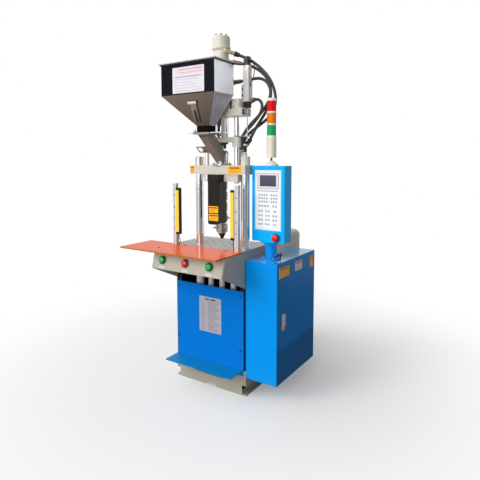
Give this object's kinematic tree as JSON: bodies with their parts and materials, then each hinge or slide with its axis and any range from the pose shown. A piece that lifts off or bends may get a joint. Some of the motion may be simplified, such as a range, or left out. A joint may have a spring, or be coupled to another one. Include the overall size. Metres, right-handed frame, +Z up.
{
  "type": "vertical plastic injection moulding machine",
  "caption": "Small vertical injection moulding machine with base, clamp bars, hopper, barrel, swivelling control box, signal tower and cabinet.",
  "frame": {"origin": "on the floor, at the centre of the rectangle of floor bolts", "axes": "+Z up, -Y towards the operator, +X towards the cabinet"},
  "size_m": [0.9253, 0.96, 2.072],
  "materials": {
    "machine_grey": "satin",
    "panel_blue": "satin",
    "cabinet_blue": "satin",
    "box_blue": "satin",
    "table_orange": "gloss",
    "chrome": "polished",
    "stainless": "polished",
    "steel": "machined",
    "bronze": "machined",
    "aluminium": "satin",
    "black_plastic": "matte",
    "hose_rubber": "matte",
    "button_red": "gloss",
    "button_green": "gloss",
    "keypad_white": "satin",
    "screen_grey": "gloss",
    "tower_beige": "satin",
    "lens": "gloss",
    "motor_paint": "satin"
  },
  "bodies": {
    "base": {"base_frame": "machine_grey", "front_panel": "panel_blue", "step_shelf": "panel_blue", "console": "machine_grey", "button_collars": "black_plastic", "work_table": "table_orange", "bed_plate": "machine_grey", "bar_bushes": "bronze", "guide_rods": "chrome", "clamp_piston": "chrome", "oil_tank": "machine_grey", "pump_motor": "motor_paint", "gear_pump": "steel", "curtain_posts": "aluminium", "curtain_units": "aluminium", "cabinet_body": "cabinet_blue", "control_gear": "aluminium", "swivel_post": "box_blue"},
    "platen": {"lower_crosshead": "machine_grey", "clamp_cylinder": "machine_grey", "tie_bars": "chrome", "rod_nuts": "steel", "platen": "machine_grey", "injection_columns": "chrome", "top_block": "machine_grey", "injection_cylinder": "machine_grey", "hydraulic_motor": "motor_paint", "transducer": "aluminium", "barrel": "steel", "nozzle": "steel", "heater_bands": "stainless", "barrel_cover": "stainless", "hopper": "stainless", "hopper_lid": "stainless", "hopper_chute": "stainless", "hose_manifold": "steel", "hose_1": "hose_rubber", "hose_2": "hose_rubber", "hose_3": "hose_rubber", "hose_4": "hose_rubber"},
    "injection_ram": {"crosshead": "machine_grey", "ram": "chrome", "sensor_rod": "steel"},
    "plasticising_screw": {"screw": "steel"},
    "screw_drive": {"drive_sleeve": "steel"},
    "feed_slide": {"hopper_gate": "chrome"},
    "drain_slide": {"drain_gate": "stainless"},
    "control_head": {"control_box": "box_blue", "keypad_panel": "keypad_white", "display_unit": "screen_grey", "tower_body": "tower_beige", "tower_lenses": "lens"},
    "emergency_button": {"estop_button": "button_red"},
    "post_lever": {"clamp_lever": "black_plastic"},
    "left_start": {"start_button_left": "button_green"},
    "stop": {"stop_button": "button_red"},
    "right_start": {"start_button_right": "button_green"},
    "door": {"cabinet_door": "cabinet_blue"},
    "door_handle": {"door_lock": "black_plastic"},
    "pump_rotor": {"motor_rotor": "steel"}
  },
  "joints": [
    {"name": "clamp_slide", "type": "slide", "parent": "base", "child": "platen", "axis": [0, 0, 1], "range_m": [-0.04, 0.16]},
    {"name": "injection_slide", "type": "slide", "parent": "platen", "child": "injection_ram", "axis": [0, 0, 1], "range_m": [0, 0.1]},
    {"name": "screw_spin", "type": "hinge", "parent": "injection_ram", "child": "plasticising_screw", "pos_m": [0.05, -0.285, 1.4], "axis": [0, 0, 1], "continuous": true},
    {"name": "sleeve_spin", "type": "hinge", "parent": "platen", "child": "screw_drive", "pos_m": [0.05, -0.285, 1.95], "axis": [0, 0, 1], "continuous": true},
    {"name": "hopper_gate_slide", "type": "slide", "parent": "platen", "child": "feed_slide", "axis": [-1, 0, 0], "range_m": [0, 0.08]},
    {"name": "drain_gate_slide", "type": "slide", "parent": "platen", "child": "drain_slide", "axis": [-1, 0, 0], "range_m": [0, 0.06]},
    {"name": "control_box_swivel", "type": "hinge", "parent": "base", "child": "control_head", "pos_m": [0.3575, -0.2385, 0.89], "axis": [0, 0, 1], "range_deg": [-45, 75]},
    {"name": "clamp_lever_turn", "type": "hinge", "parent": "base", "child": "post_lever", "pos_m": [0.4, -0.2385, 0.827], "axis": [1, 0, 0], "range_deg": [-60, 60]},
    {"name": "emergency_push", "type": "slide", "parent": "control_head", "child": "emergency_button", "axis": [0, 1, 0], "range_m": [0, 0.004], "stiffness_N_per_m": 400, "springref_m": -0.004},
    {"name": "left_start_push", "type": "slide", "parent": "base", "child": "left_start", "axis": [0, 0.9594, -0.2822], "range_m": [0, 0.004], "stiffness_N_per_m": 400, "springref_m": -0.004},
    {"name": "stop_push", "type": "slide", "parent": "base", "child": "stop", "axis": [0, 0.9594, -0.2822], "range_m": [0, 0.004], "stiffness_N_per_m": 400, "springref_m": -0.004},
    {"name": "right_start_push", "type": "slide", "parent": "base", "child": "right_start", "axis": [0, 0.9594, -0.2822], "range_m": [0, 0.004], "stiffness_N_per_m": 400, "springref_m": -0.004},
    {"name": "cabinet_door_swing", "type": "hinge", "parent": "base", "child": "door", "pos_m": [0.453, 0.135, 0.45], "axis": [0, 0, 1], "range_deg": [0, 110]},
    {"name": "door_lock_turn", "type": "hinge", "parent": "door", "child": "door_handle", "pos_m": [0.46, -0.27, 0.436], "axis": [1, 0, 0], "range_deg": [0, 90]},
    {"name": "pump_motor_spin", "type": "hinge", "parent": "base", "child": "pump_rotor", "pos_m": [0.19, 0.235, 0.6], "axis": [0, 0, 1], "continuous": true}
  ],
  "couplings": [
    {"joint": "sleeve_spin", "follows": "screw_spin", "ratio": 1}
  ]
}
